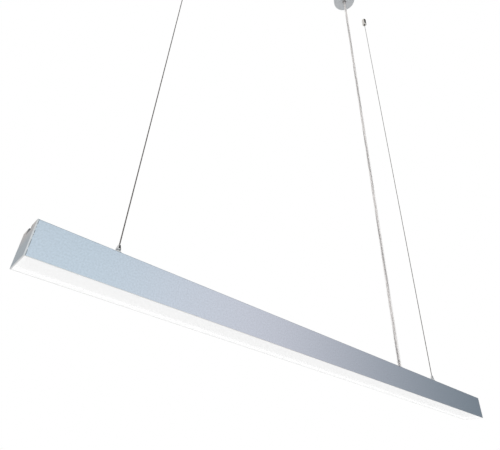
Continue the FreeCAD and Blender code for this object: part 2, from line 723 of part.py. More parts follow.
def make_coupler_base(label, x):
    """A disc on the ceiling with a screw hole through it and a boss that the barrel goes over."""
    return turned(label, [
        ("screw_hole_radius", "0"),
        ("coupler_radius", "0"),
        ("coupler_radius", "-3"),
        ("coupler_boss_radius", "-3"),
        ("coupler_boss_radius", "-coupler_base_height"),
        ("coupler_boss_radius - 2", "-coupler_base_height"),
        ("coupler_boss_radius - 2", "-5"),
        ("screw_hole_radius", "-3"),
    ], x=x)


def make_coupler_barrel(label, x):
    """A barrel that covers the base. The wire's ball hangs in its seat and the mouth flares."""
    seat_z = "-pivot_drop - 0.6 * end_ball_radius"
    seat_radius = "end_ball_radius - 0.4"
    mouth_radius = "end_ball_radius + 1.7"
    return turned(label, [
        ("coupler_boss_radius + fit_gap / 4", "-3"),
        ("coupler_radius", "-3"),
        ("coupler_radius", "-coupler_height + 3"),
        ("coupler_radius - 2", "-coupler_height"),
        (mouth_radius, "-coupler_height"),
        (seat_radius, seat_z),
        (mouth_radius, f"{seat_z} + 3"),
        ("coupler_boss_radius - 2", f"{seat_z} + 3"),
        ("coupler_boss_radius - 2", "-coupler_base_height - 1"),
        ("coupler_boss_radius + fit_gap / 4", "-coupler_base_height - 1"),
    ], x=x)


def make_hanging(side):
    """One wire with all that holds it, from the ceiling to the T slot."""
    x = "wire_spacing / 2" if side == "right" else "-wire_spacing / 2"
    pieces = [
        make_coupler_base(f"ceiling_coupler_base_{side}", x),
        make_coupler_barrel(f"ceiling_coupler_barrel_{side}", x),
        make_end_ball(f"wire_end_ball_{side}", x),
        make_slot_nut(f"slot_nut_{side}", x),
        make_nut_screw(f"slot_nut_screw_{side}", f"{x} {NUT_SCREW_X}"),
        make_gripper_body(f"gripper_body_{side}", x),
        make_gripper_nose(f"gripper_nose_{side}", x),
        make_gripper_balls(f"gripper_balls_{side}", x),
        make_gripper_spring(f"gripper_spring_{side}", x),
        rod(f"wire_tail_{side}", "wire_radius", f"{TOP_Z} + tail_end_rise", MOUTH_Z, x),
    ]
    wire_bottom = MOUTH_Z
    if side == "left":
        foot_top = f"{MOUTH_Z} + foot_gap + foot_length"
        pieces.append(rod("wire_foot_left", "wire_radius", f"{MOUTH_Z} + foot_gap", foot_top, x))
        wire_bottom = foot_top
    pieces.append(rod(f"wire_{side}", "wire_radius", wire_bottom, WIRE_TOP_Z, x))
    return pieces


# ---------------------------------------------------------------- power cord, gland and canopy
def make_cord_gland():
    """The tapered strain relief: a collar in the channel and a sleeve out of the slot."""
    return turned("cord_gland", [
        ("cord_radius", "-wall - channel_depth - wall - gland_nut_height - 1.5"),
        (GLAND_STEM, "-wall - channel_depth - wall - gland_nut_height - 1.5"),
        (GLAND_STEM, "-wall - channel_depth"),
        (GLAND_COLLAR, "-wall - channel_depth"),
        (GLAND_COLLAR, "0"),
        ("cord_radius + gland_wall", "0"),
        ("cord_radius + gland_wall", "2"),
        ("cord_radius + 1", "gland_height"),
        ("cord_radius", "gland_height"),
    ], x="cord_x", z=TOP_Z)


def make_gland_nut(label, z_low, z_high):
    """A six-sided nut round the stem of a cord gland."""
    prism = doc.addObject("Part::Prism", f"{label}_prism")
    prism.Polygon = 6
    bind(prism, Circumradius=f"{GLAND_STEM} + gland_nut_wall", Height=f"({z_high}) - ({z_low})")
    place(prism, "cord_x", "0", z_low)
    hole = rod(f"{label}_bore", GLAND_STEM, f"{z_low} - 1", f"{z_high} + 1", "cord_x")
    return cut(label, prism, hole)


CUP_SCREW_Z = "-canopy_height / 3"


def make_canopy_base():
    """The plate on the ceiling, with two screw holes, a supply hole and two tabs for the cup."""
    plate = rod("canopy_plate_disc", "canopy_radius - canopy_wall - fit_gap", "-canopy_wall", "0", "cord_x")
    tabs = []
    for index, sign in enumerate((-1, 1)):
        middle = f"cord_x + {sign} * (canopy_radius - canopy_wall - cup_tab_gap - cup_tab_thickness / 2)"
        tabs.append(bar(f"canopy_tab_{index}", f"{middle} - cup_tab_thickness / 2",
                        f"{middle} + cup_tab_thickness / 2", "-cup_tab_width / 2", "cup_tab_width / 2",
                        "-canopy_height / 2", "0"))
    solid = fuse("canopy_plate_solid", plate, *tabs)
    tools = [rod("canopy_supply_hole", "supply_hole_radius", "-canopy_wall - 1", "1", "cord_x",
                 "-supply_hole_offset")]
    for index, sign in enumerate((-1, 1)):
        tools.append(rod(f"canopy_screw_hole_{index}", "screw_hole_radius", "-canopy_wall - 1", "1",
                         f"cord_x + {sign} * canopy_hole_spacing / 2"))
    return cut("canopy_base_plate", solid, *tools)


def make_canopy_cup():
    rim = "canopy_radius - canopy_wall"
    inner_edge = "(cup_edge + 0.4 * canopy_wall)"
    cup = turned("canopy_cup_turned", [
        ("canopy_radius", "-cup_rim_gap"),
        ("canopy_radius", "-canopy_height + cup_edge"),
        ("canopy_radius - cup_edge", "-canopy_height"),
        (f"{GLAND_STEM} + fit_gap", "-canopy_height"),
        (f"{GLAND_STEM} + fit_gap", "-canopy_height + canopy_wall"),
        (f"canopy_radius - {inner_edge}", "-canopy_height + canopy_wall"),
        (rim, f"-canopy_height + {inner_edge}"),
        (rim, "-cup_rim_gap"),
    ], x="cord_x")
    drill = doc.addObject("Part::Cylinder", "canopy_cup_drill")
    bind(drill, Radius="cup_screw_radius + fit_gap / 2", Height="2 * canopy_radius + 4")
    drill.Placement = Placement(Vector(0, 0, 0), Rotation(Vector(0, 1, 0), 90))
    place(drill, "cord_x - canopy_radius - 2", "0", CUP_SCREW_Z)
    return cut("canopy_cup", cup, drill)


def make_cup_screws():
    """Two small screws through the cup's wall against the base plate's tabs."""
    screws = []
    for index, sign in enumerate((1, -1)):
        shank = doc.addObject("Part::Cylinder", f"cup_screw_shank_{index}")
        bind(shank, Radius="cup_screw_radius", Height="canopy_wall + cup_tab_gap")
        shank.Placement = Placement(Vector(0, 0, 0), Rotation(Vector(0, 1, 0), sign * 90))
        place(shank, f"cord_x + {sign} * (canopy_radius - canopy_wall - cup_tab_gap)", "0", CUP_SCREW_Z)
        head = doc.addObject("Part::Cylinder", f"cup_screw_head_{index}")
        bind(head, Radius="cup_screw_head_radius", Height="cup_screw_head_height")
        head.Placement = shank.Placement
        place(head, f"cord_x + {sign} * canopy_radius", "0", CUP_SCREW_Z)
        screws.append(fuse(f"cup_screw_{index}", shank, head))
    return grouped("canopy_cup_screws", *screws)


def make_canopy_gland():
    """The strain relief under the cup. Its mouth flares round the point the cord swings from."""
    low = "-canopy_height - canopy_gland_height"
    return turned("canopy_gland", [
        ("cord_radius + 0.1", "-canopy_height + canopy_wall + gland_nut_height + 1"),
        (GLAND_STEM, "-canopy_height + canopy_wall + gland_nut_height + 1"),
        (GLAND_STEM, "-canopy_height"),
        ("cord_radius + canopy_gland_wall", "-canopy_height"),
        ("cord_radius + canopy_gland_wall", f"{low} + 1.5"),
        ("cord_radius + canopy_gland_wall - 1", low),
        ("cord_radius + canopy_gland_wall * 0.6", low),
        ("cord_radius + 0.2", "-pivot_drop + 1"),
        ("cord_radius + 0.1", "-canopy_height"),
    ], x="cord_x")


def make_canopy_block():
    """The block that joins the cord to the supply, against the base plate."""
    block = bar("canopy_block_body", "cord_x - block_width / 2", "cord_x + block_width / 2",
                "canopy_block_offset", "canopy_block_offset + block_length / 2",
                "-canopy_wall - block_height", "-canopy_wall")
    tools = [rod(f"canopy_block_well_{index + 1}", "small_screw_radius", "-canopy_wall - block_height - 1",
                 "-canopy_wall - block_height + 3", f"cord_x + {index} * core_spacing",
                 "canopy_block_offset + block_length / 4")
             for index in (-1, 0, 1)]
    return cut("canopy_terminal_block", block, *tools)


def make_canopy_cores():
    """Three cores from the cord's end in the cup, over to the block."""
    cord_x = number("cord_x")
    start_z = number("-canopy_height + canopy_wall + gland_nut_height + cord_end_beyond")
    end_z = number("-canopy_wall - block_height / 2")
    block_y = number("canopy_block_offset")
    radius = number("core_radius")
    cores = []
    for index in (-1, 0, 1):
        x = cord_x + index * number("core_pitch")
        block_x = cord_x + index * number("core_spacing")
        points = [(x, 0, start_z), (x, 0, end_z - 1), (block_x, 4.5, end_z), (block_x, block_y, end_z)]
        cores.append(lead(f"canopy_core_{index + 1}", points, radius))
    return own_shape("canopy_cores", Part.makeCompound(cores))


def make_power_cord():
    """The cord in three stretches: in the canopy, hanging free, and from the wires' bend down."""
    end_in_housing = f"{LAMP_Z} + {FLOOR_UNDER} - gland_nut_height - cord_end_beyond"
    end_in_canopy = "-canopy_height + canopy_wall + gland_nut_height + cord_end_beyond"
    return [
        rod("power_cord_canopy_end", "cord_radius", PIVOT_Z, end_in_canopy, "cord_x"),
        rod("power_cord", "cord_radius", MOUTH_Z, PIVOT_Z, "cord_x"),
        rod("power_cord_lamp_end", "cord_radius", end_in_housing, MOUTH_Z, "cord_x"),
    ]


# ---------------------------------------------------------------- the whole light
UNDER_FLOOR = f"{LAMP_Z} + {FLOOR_UNDER}"
pieces = [
    make_housing(),
    make_end_cap("end_cap_left", mirrored=False),
    make_end_cap("end_cap_right", mirrored=True),
    make_diffuser(),
    make_gear_tray(),
    make_light_board("light_board_left", "-"),
    make_light_board("light_board_right", "+"),
    make_light_packages(),
    make_driver(),
    make_driver_screws(),
    make_terminal_block(),
    make_supply_cores(),
    make_driver_leads(),
    make_board_leads(),
    *make_hanging("left"),
    *make_hanging("right"),
    make_cord_gland(),
    make_gland_nut("cord_gland_nut", f"{UNDER_FLOOR} - gland_nut_height", UNDER_FLOOR),
    make_canopy_base(),
    make_canopy_cup(),
    make_cup_screws(),
    make_canopy_gland(),
    make_gland_nut("canopy_gland_nut", "-canopy_height + canopy_wall",
                   "-canopy_height + canopy_wall + gland_nut_height"),
    make_canopy_block(),
    make_canopy_cores(),
    *make_power_cord(),
]
doc.recompute()

# ---------------------------------------------------------------- checks and export
for thing in doc.Objects:
    if "Invalid" in thing.State or "Error" in thing.State:
        raise RuntimeError(f"{thing.Label}: {thing.State}")
for piece in pieces:
    if piece.Shape.isNull() or not piece.Shape.isValid() or piece.Shape.Volume <= 0:
        raise RuntimeError(f"{piece.Label} has no valid solid")

os.makedirs("parts", exist_ok=True)
for piece in pieces:
    piece.Shape.exportStep(f"parts/{piece.Label}.step")
    print(piece.Label, len(piece.Shape.Solids), round(piece.Shape.Volume, 1))
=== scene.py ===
import json
import math

import bpy
import numpy as np
from mathutils import Matrix, Vector

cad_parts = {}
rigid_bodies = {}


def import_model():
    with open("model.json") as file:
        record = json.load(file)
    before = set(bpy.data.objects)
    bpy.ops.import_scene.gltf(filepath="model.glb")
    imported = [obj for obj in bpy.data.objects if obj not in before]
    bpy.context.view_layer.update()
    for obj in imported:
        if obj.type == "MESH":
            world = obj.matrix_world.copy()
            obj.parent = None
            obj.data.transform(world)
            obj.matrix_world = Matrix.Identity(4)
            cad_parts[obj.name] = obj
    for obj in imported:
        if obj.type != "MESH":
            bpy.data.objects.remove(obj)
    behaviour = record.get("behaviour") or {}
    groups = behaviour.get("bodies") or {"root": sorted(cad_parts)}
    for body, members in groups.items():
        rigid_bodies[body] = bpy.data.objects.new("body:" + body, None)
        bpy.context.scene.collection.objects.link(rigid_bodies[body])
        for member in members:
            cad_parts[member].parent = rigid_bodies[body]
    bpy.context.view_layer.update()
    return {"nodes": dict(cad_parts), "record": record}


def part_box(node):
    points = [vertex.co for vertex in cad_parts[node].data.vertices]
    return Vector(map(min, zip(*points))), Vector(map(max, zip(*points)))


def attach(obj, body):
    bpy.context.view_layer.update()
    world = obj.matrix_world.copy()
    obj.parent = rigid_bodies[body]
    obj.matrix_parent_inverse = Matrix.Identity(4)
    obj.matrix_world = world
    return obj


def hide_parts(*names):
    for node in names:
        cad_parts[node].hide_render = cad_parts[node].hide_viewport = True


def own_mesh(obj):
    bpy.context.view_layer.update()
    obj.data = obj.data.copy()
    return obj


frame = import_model()
nodes = frame["nodes"]
scene = bpy.context.scene
scene.view_settings.view_transform = "Standard"

# The frame's origin is on the ceiling, midway between the two wires. X runs along the lamp, Z is up.
WIRE_X = 0.4425                # each wire, from the origin
CORD_X = 0.2875                # the power cord
PIVOT_Z = -0.030               # where the wires and the cord swing from
MOUTH_Z = -1.636               # the grippers' mouths
WIRE_DIAMETER = 0.002
CORD_DIAMETER = 0.009


# ---------------------------------------------------------------- camera
IMAGE_WIDTH = 500
FOCAL_PIXELS = 417
EYE = Vector((-0.6387, -0.5061, -1.932))
YAW = math.radians(40.86)      # from +Y towards +X
PITCH = math.radians(33.81)
ROLL = math.radians(3.11)


def make_camera():
    """The photograph's camera: below the lamp's left end and in front of it, looking up along it."""
    forward = Vector((math.sin(YAW) * math.cos(PITCH), math.cos(YAW) * math.cos(PITCH), math.sin(PITCH)))
    level_right = Vector((math.cos(YAW), -math.sin(YAW), 0))
    level_up = level_right.cross(forward)
    right = level_right * math.cos(ROLL) + level_up * math.sin(ROLL)
    up = level_up * math.cos(ROLL) - level_right * math.sin(ROLL)
    data = bpy.data.cameras.new("camera")
    data.sensor_width = 36
    data.lens = FOCAL_PIXELS / IMAGE_WIDTH * data.sensor_width
    data.clip_start = 0.01
    data.clip_end = 100
    camera = bpy.data.objects.new("camera", data)
    scene.collection.objects.link(camera)
    axes = Matrix((right, up, -forward)).transposed().to_4x4()
    camera.matrix_world = Matrix.Translation(EYE) @ axes
    scene.camera = camera


make_camera()


# ---------------------------------------------------------------- mesh helpers
def new_object(name, vertices, faces):
    """A mesh whose four-sided faces are smooth. Its other faces, the ends of tubes, are flat."""
    mesh = bpy.data.meshes.new(name)
    mesh.from_pydata([tuple(v) for v in vertices], [], faces)
    mesh.update()
    mesh.polygons.foreach_set("use_smooth", [len(face) == 4 for face in faces])
    piece = bpy.data.objects.new(name, mesh)
    scene.collection.objects.link(piece)
    return piece


def smooth_line(name, route):
    """Points along the smooth line that has the route's points as its control points."""
    curve = bpy.data.curves.new(name, "CURVE")
    curve.dimensions = "3D"
    curve.resolution_u = 48
    spline = curve.splines.new("NURBS")
    spline.points.add(len(route) - 1)
    for point, place in zip(spline.points, route):
        point.co = (*place, 1)
    spline.order_u = 3
    spline.use_endpoint_u = True
    line = bpy.data.objects.new(name, curve)
    scene.collection.objects.link(line)
    bpy.context.view_layer.update()
    mesh = bpy.data.meshes.new_from_object(line)
    points = [v.co.copy() for v in mesh.vertices]
    bpy.data.objects.remove(line)
    bpy.data.curves.remove(curve)
    bpy.data.meshes.remove(mesh)
    return points


def tube(centres, radius, sides):
    """A closed tube round a list of centres, with flat ends."""
    centres = [Vector(c) for c in centres]
    side_way = Vector((1, 0, 0))
    vertices = []
    for i, centre in enumerate(centres):
        before = centres[max(i - 1, 0)]
        after = centres[min(i + 1, len(centres) - 1)]
        along = (after - before).normalized()
        side_way = (side_way - along * side_way.dot(along)).normalized()
        other_way = along.cross(side_way)
        for k in range(sides):
            turn = 2 * math.pi * k / sides
            vertices.append(centre + (side_way * math.cos(turn) + other_way * math.sin(turn)) * radius)
    faces = []
    last = sides * (len(centres) - 1)
    for low in range(0, last, sides):
        high = low + sides
        for k in range(sides):
            k2 = (k + 1) % sides
            faces.append((low + k, low + k2, high + k2, high + k))
    faces.append(tuple(reversed(range(sides))))
    faces.append(tuple(last + k for k in range(sides)))
    return vertices, faces


def joined(shapes):
    """Several lists of vertices and faces as one."""
    vertices, faces = [], []
    for more_vertices, more_faces in shapes:
        first = len(vertices)
        vertices += more_vertices
        faces += [tuple(first + i for i in face) for face in more_faces]
    return vertices, faces


def twisted(line, reach, lay, count, samples_per_turn, start_turn):
    """Helices round a smooth line: each is a list of centres, one turn every lay metres."""
    line = np.array([tuple(p) for p in line])
    runs = np.linalg.norm(np.diff(line, axis=0), axis=1)
    along = np.concatenate([[0], np.cumsum(runs)])
    steps = max(2, round(along[-1] / lay * samples_per_turn))
    places = np.linspace(0, along[-1], steps + 1)
    centres = np.stack([np.interp(places, along, line[:, k]) for k in range(3)], axis=1)
    helices = []
    for strand in range(count):
        turn = 2 * math.pi * (places / lay + strand / count + start_turn)
        offset = np.stack([np.cos(turn), np.sin(turn), np.zeros(len(turn))], axis=1) * reach
        helices.append(centres + offset)
    return helices


# ---------------------------------------------------------------- wires and power cord
NEAR_END = 6                   # a route's inner points are this many diameters from its ends
SHORT_ROUTE = 14               # and a route shorter than this many has one, in its middle
ROPE_LAY = 0.014               # one turn of the strands
ROPE_STRANDS = 6               # round the seventh
ROPE_SAMPLES = 10              # centres in each turn
STRAND_RADIUS = WIRE_DIAMETER / 6
STRAND_SIDES = 7
SHEATH_SIDES = 32
CORE_COUNT = 3
CORE_RADIUS = CORD_DIAMETER * 0.135
CORE_REACH = CORE_RADIUS * 1.16
CORE_LAY = 0.35
CORE_TURN = -0.24              # sets the dark core where the photograph has it
CORE_SAMPLES = 60
CORE_SIDES = 16


def straight_route(x, top, bottom, diameter):
    """The control points of a taut stretch."""
    if top - bottom > SHORT_ROUTE * diameter:
        inner = (top - NEAR_END * diameter, bottom + NEAR_END * diameter)
    else:
        inner = ((top + bottom) / 2,)
    return [(x, 0, z) for z in (top, *inner, bottom)]


def make_rope(name, node, body, x, top, bottom):
    """A wire rope: six strands laid round a seventh."""
    line = smooth_line(name, straight_route(x, top, bottom, WIRE_DIAMETER))
    helices = twisted(line, 2 * STRAND_RADIUS, ROPE_LAY, ROPE_STRANDS, ROPE_SAMPLES, -top / ROPE_LAY)
    shapes = [tube(centres, STRAND_RADIUS, STRAND_SIDES) for centres in (*helices, line)]
    piece = new_object(name, *joined(shapes))
    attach(piece, body)
    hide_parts(node)
    return piece, line


def shorten(piece):
    """Gives the piece a mesh of its own."""
    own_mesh(piece)


WIRE_TOP_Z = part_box("wire_left")[1].z
FOOT_TOP_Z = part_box("wire_foot_left")[1].z
FOOT_BOTTOM_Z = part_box("wire_foot_left")[0].z

rope_left, line = make_rope("wire_rope_left", "wire_left", "left_wire", -WIRE_X, WIRE_TOP_Z, FOOT_TOP_Z)
foot_left, _ = make_rope("wire_rope_foot_left", "wire_foot_left", "left_grip_point", -WIRE_X,
                         FOOT_TOP_Z, FOOT_BOTTOM_Z)
shorten(rope_left)

rope_right, line = make_rope("wire_rope_right", "wire_right", "right_wire", WIRE_X, WIRE_TOP_Z, MOUTH_Z)
shorten(rope_right)


def make_cord_stretch(name, node, body, top, bottom):
    """A clear round sheath over three twisted cores, one of them dark."""
    line = smooth_line(name, straight_route(CORD_X, top, bottom, CORD_DIAMETER))
    sheath = new_object(f"{name}_sheath", *tube(line, CORD_DIAMETER / 2, SHEATH_SIDES))
    helices = twisted(line, CORE_REACH, CORE_LAY, CORE_COUNT, CORE_SAMPLES, CORE_TURN - top / CORE_LAY)
    shapes = [tube(helix, CORE_RADIUS, CORE_SIDES) for helix in helices]
    cores = new_object(f"{name}_cores", *joined(shapes))
    dark_faces = len(shapes[0][1])
    cores.data.materials.append(None)
    cores.data.materials.append(None)
    for face in cores.data.polygons[:dark_faces]:
        face.material_index = 1
    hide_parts(node)
    for piece in (sheath, cores):
        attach(piece, body)
    return sheath, cores, line


cord_sheath, cord_cores, line = make_cord_stretch("power_cord_hanging", "power_cord", "hanging_cord",
                                                  PIVOT_Z, MOUTH_Z)
for piece in (cord_sheath, cord_cores):
    shorten(piece)
lamp_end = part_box("power_cord_lamp_end")
make_cord_stretch("power_cord_at_lamp", "power_cord_lamp_end", "lamp", lamp_end[1].z, lamp_end[0].z)
canopy_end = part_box("power_cord_canopy_end")
make_cord_stretch("power_cord_at_canopy", "power_cord_canopy_end", "ceiling_fittings", canopy_end[1].z,
                  canopy_end[0].z)


# ---------------------------------------------------------------- springs inside the grippers
SPRING_WIRE = 0.0006
SPRING_TURNS = 4               # open ones; one more at each end is closed
ALL_SPRING_TURNS = SPRING_TURNS + 2
SPRING_SAMPLES = 30            # centres in each turn
SPRING_SIDES = 10


def make_spring(side):
    """A coil spring with closed ends."""
    low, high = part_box(f"gripper_spring_{side}")
    x = (low.x + high.x) / 2
    reach = (high.x - low.x) / 2 - SPRING_WIRE / 2
    bottom = low.z + SPRING_WIRE / 2
    rise = high.z - low.z - SPRING_WIRE
    count = SPRING_SAMPLES * ALL_SPRING_TURNS
    centres = []
    for k in range(count + 1):
        turns = ALL_SPRING_TURNS * k / count
        climbed = min(max((turns - 1) / SPRING_TURNS, 0), 1)
        angle = 2 * math.pi * turns
        centres.append((x + reach * math.cos(angle), reach * math.sin(angle), bottom + rise * climbed))
    spring = new_object(f"gripper_coil_{side}", *tube(centres, SPRING_WIRE / 2, SPRING_SIDES))
    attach(spring, "lamp")
    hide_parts(f"gripper_spring_{side}")
    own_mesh(spring)


for side in ("left", "right"):
    make_spring(side)


# ---------------------------------------------------------------- materials
def new_material(name, colour, metallic, roughness):
    """A material, its tree and its shader, with the even values set on the shader itself."""
    material = bpy.data.materials.new(name)
    material.use_nodes = True
    shader = material.node_tree.nodes["Principled BSDF"]
    shader.inputs["Base Color"].default_value = (*colour, 1)
    shader.inputs["Metallic"].default_value = metallic
    shader.inputs["Roughness"].default_value = roughness
    return material, material.node_tree, shader


def noise(tree, scale, detail=2.0, stretch=(1, 1, 1)):
    """A noise over the object's own place, its scale in grains per metre."""
    place = tree.nodes.new("ShaderNodeTexCoord")
    mapping = tree.nodes.new("ShaderNodeMapping")
    mapping.inputs["Scale"].default_value = stretch
    texture = tree.nodes.new("ShaderNodeTexNoise")
    texture.inputs["Scale"].default_value = scale
    texture.inputs["Detail"].default_value = detail
    tree.links.new(place.outputs["Object"], mapping.inputs["Vector"])
    tree.links.new(mapping.outputs["Vector"], texture.inputs["Vector"])
    return texture.outputs["Fac"]


def ramp(tree, source, low, high, start=0.3, end=0.7):
    """A colour that runs from low to high as the source goes from start to end."""
    node = tree.nodes.new("ShaderNodeValToRGB")
    node.color_ramp.elements[0].position = start
    node.color_ramp.elements[0].color = (*low, 1)
    node.color_ramp.elements[1].position = end
    node.color_ramp.elements[1].color = (*high, 1)
    tree.links.new(source, node.inputs["Fac"])
    return node.outputs["Color"]


def level(tree, source, low, high, start=0.3, end=0.7):
    """A number that runs from low to high as the source goes from start to end."""
    node = tree.nodes.new("ShaderNodeMapRange")
    for name, value in (("From Min", start), ("From Max", end), ("To Min", low), ("To Max", high)):
        node.inputs[name].default_value = value
    tree.links.new(source, node.inputs["Value"])
    return node.outputs["Result"]


def bump(tree, shader, source, depth):
    node = tree.nodes.new("ShaderNodeBump")
    node.inputs["Distance"].default_value = depth
    node.inputs["Strength"].default_value = 1.0
    tree.links.new(source, node.inputs["Height"])
    tree.links.new(node.outputs["Normal"], shader.inputs["Normal"])


def shade(colour, share):
    return tuple(min(1.0, c * share) for c in colour)


def grained(name, colour, metallic, roughness, scale, colour_swing, rough_swing, depth, stretch=(1, 1, 1)):
    """A surface whose grain varies its colour, its roughness and its height."""
    material, tree, shader = new_material(name, colour, metallic, roughness)
    grain = noise(tree, scale, stretch=stretch)
    tree.links.new(ramp(tree, grain, shade(colour, 1 - colour_swing), shade(colour, 1 + colour_swing)),
                   shader.inputs["Base Color"])
    tree.links.new(level(tree, grain, roughness - rough_swing, roughness + rough_swing),
                   shader.inputs["Roughness"])
    bump(tree, shader, grain, depth)
    return material, tree, shader


def mixed(tree, share, low, high):
    """A colour between low and high, each a colour or a socket."""
    node = tree.nodes.new("ShaderNodeMix")
    node.data_type = "RGBA"
    tree.links.new(share, node.inputs[0])
    for socket, value in ((node.inputs[6], low), (node.inputs[7], high)):
        if isinstance(value, tuple):
            socket.default_value = (*value, 1)
        else:
            tree.links.new(value, socket)
    return node.outputs[2]


def maths(tree, operation, *values):
    node = tree.nodes.new("ShaderNodeMath")
    node.operation = operation
    for socket, value in zip(node.inputs, values):
        if isinstance(value, (int, float)):
            socket.default_value = value
        else:
            tree.links.new(value, socket)
    return node.outputs[0]


def place_on(tree):
    """The object's own X, Y and Z at each point, and its own normal's X, Y and Z."""
    coordinates = tree.nodes.new("ShaderNodeTexCoord")
    found = []
    for output in ("Object", "Normal"):
        split = tree.nodes.new("ShaderNodeSeparateXYZ")
        tree.links.new(coordinates.outputs[output], split.inputs["Vector"])
        found.append([split.outputs[k] for k in range(3)])
    return found


# Where the housing's faces are, in metres, to tell its outside from the recess that the diffuser lights.
LAMP_CENTRE_X = 0.0425
LAMP_CENTRE_Z = -1.685
HOUSING_HALF_LENGTH = 0.598
HOUSING_HALF_WIDTH = 0.025
RECESS_TOP_Z = -1.6945
RIM_Z = -1.7095
WALL_INSIDE_Y = 0.0237
# An end face runs from its own colour at the first height up into a painted reflection colour at the second.
REFLECTION_LOW_Z = -1.688
REFLECTION_HIGH_Z = -1.664
SLOT_HALF_WIDTH = 0.0087
SLOT_MIDDLE_Z = -1.6642
SLOT_HALF_DEPTH = 0.0040
SKIN = 0.0003                  # how near the housing's side counts as its outside
EDGE_SHADE_WIDTH = 0.0007             # width of the painted shade line along its edges
SEAM_HALF_WIDTH = 0.0004       # width of the dark line at the seam with an end cap
CAP_STEP = 0.0005              # the recess ends this far into an end cap
FACING_X = 0.9                 # a normal with more than this along X is an end face
MOTTLE_SCALE = 400             # grains per metre
FINE_SCALE = 2200
MOTTLE_SHARE = 0.65            # the rest is the fine grain's
GRAIN = (0.36, 0.64)           # where the grain's noise starts and ends
GRAIN_SWING = 0.09
END_GRAIN = 0.12               # how far the grain takes an end face towards the dull colour
DULL = (0.2, 0.2, 0.2)
SATIN = (0.28, 0.34)           # roughness
EDGE_SHADE_STRENGTH = 0.45
SEAM_STRENGTH = (0.1, 0.8)     # it comes and goes along the seam
DASH_SCALE = 260
DASHES = (0.42, 0.55)
SHADE_AND_SEAM_SHARE = 0.22              # of the colour, in the painted shade of the slot and the edges, and in the seams
# Painted light from the diffuser on the housing's bottom rims.
RIM_PAINTED_LIGHT = (0.74, 0.74, 0.74)
# The recess's pale finish, and its painted glow, which stands in for the diffuser's light on it.
RECESS_COLOUR = (0.86, 0.86, 0.86)
RECESS_PAINTED_GLOW = 0.27


def make_anodised(name, colour, face_colour, reflection_colour):
    """Satin anodised aluminium: mottled, with finer grain in it. The recess round the diffuser is pale and
    has a painted glow for the diffuser's light, and the bottom rims are painted lighter for the same light.
    The T slot has painted shade inside, thin lines of painted shade follow the edges, and dark lines follow
    the seams at the caps. On the caps an end face is darker, painted shade, and runs up into a painted
    reflection at the top."""
    material, tree, shader = new_material(name, colour, 1.0, SATIN[0])
    (x, y, z), (normal_x, _, _) = place_on(tree)
    mottle = maths(tree, "MULTIPLY", noise(tree, MOTTLE_SCALE, 3.0), MOTTLE_SHARE)
    fine = maths(tree, "MULTIPLY", noise(tree, FINE_SCALE, 2.0), 1 - MOTTLE_SHARE)
    grain = maths(tree, "ADD", mottle, fine)
    metal = ramp(tree, grain, shade(colour, 1 - GRAIN_SWING), shade(colour, 1 + GRAIN_SWING), *GRAIN)
    # End faces: their colour, painted shade on the caps, runs up into a painted reflection colour near the
    # top.
    face = ramp(tree, level(tree, z, 0.0, 1.0, REFLECTION_LOW_Z, REFLECTION_HIGH_Z), face_colour, reflection_colour, 0.0, 1.0)
    face = mixed(tree, level(tree, grain, 0.0, END_GRAIN, *GRAIN), face, DULL)
    on_face = maths(tree, "GREATER_THAN", maths(tree, "ABSOLUTE", normal_x), FACING_X)
    metal = mixed(tree, on_face, metal, face)
    high = maths(tree, "ABSOLUTE", maths(tree, "SUBTRACT", z, LAMP_CENTRE_Z))
    along = maths(tree, "ABSOLUTE", maths(tree, "SUBTRACT", x, LAMP_CENTRE_X))
    beside = maths(tree, "ABSOLUTE", y)
    outside = maths(tree, "GREATER_THAN", beside, HOUSING_HALF_WIDTH - SKIN)
    # Thin lines of painted shade along the housing's edges.
    edge_shade = maths(tree, "MULTIPLY", outside, maths(tree, "GREATER_THAN", high, HOUSING_HALF_WIDTH - EDGE_SHADE_WIDTH))
    seam = maths(tree, "MULTIPLY", maths(tree, "COMPARE", along, HOUSING_HALF_LENGTH, SEAM_HALF_WIDTH),
                 level(tree, noise(tree, DASH_SCALE, 1.0), *SEAM_STRENGTH, *DASHES))
    # Painted shade inside the T slot.
    slot = maths(tree, "MULTIPLY", maths(tree, "LESS_THAN", beside, SLOT_HALF_WIDTH),
                 maths(tree, "LESS_THAN", maths(tree, "ABSOLUTE", maths(tree, "SUBTRACT", z, SLOT_MIDDLE_Z)),
                       SLOT_HALF_DEPTH))
    # The edges' painted shade and the dark seams, then the slot's painted shade, take the darker colour.
    line = maths(tree, "MAXIMUM", maths(tree, "MULTIPLY", edge_shade, EDGE_SHADE_STRENGTH), seam)
    dark = maths(tree, "MAXIMUM", line, slot)
    metal = mixed(tree, dark, metal, shade(colour, SHADE_AND_SEAM_SHARE))
    within = maths(tree, "MULTIPLY", maths(tree, "LESS_THAN", beside, WALL_INSIDE_Y),
                   maths(tree, "LESS_THAN", along, HOUSING_HALF_LENGTH + CAP_STEP))
    inside = maths(tree, "MULTIPLY", maths(tree, "LESS_THAN", z, RECESS_TOP_Z), within)
    # The recess and the bottom rims get a lighter colour: painted light from the diffuser.
    painted_light_mask = maths(tree, "MAXIMUM", inside, maths(tree, "LESS_THAN", z, RIM_Z))
    metal = mixed(tree, painted_light_mask, metal, RIM_PAINTED_LIGHT)
    tree.links.new(mixed(tree, inside, metal, RECESS_COLOUR), shader.inputs["Base Color"])
    tree.links.new(maths(tree, "SUBTRACT", 1.0, inside), shader.inputs["Metallic"])
    tree.links.new(level(tree, grain, *SATIN), shader.inputs["Roughness"])
    # A painted glow on the recess faces, though they are no lamp.
    shader.inputs["Emission Color"].default_value = (1, 1, 1, 1)
    tree.links.new(maths(tree, "MULTIPLY", inside, RECESS_PAINTED_GLOW), shader.inputs["Emission Strength"])
    bump(tree, shader, grain, 0.00001)
    return material, shader


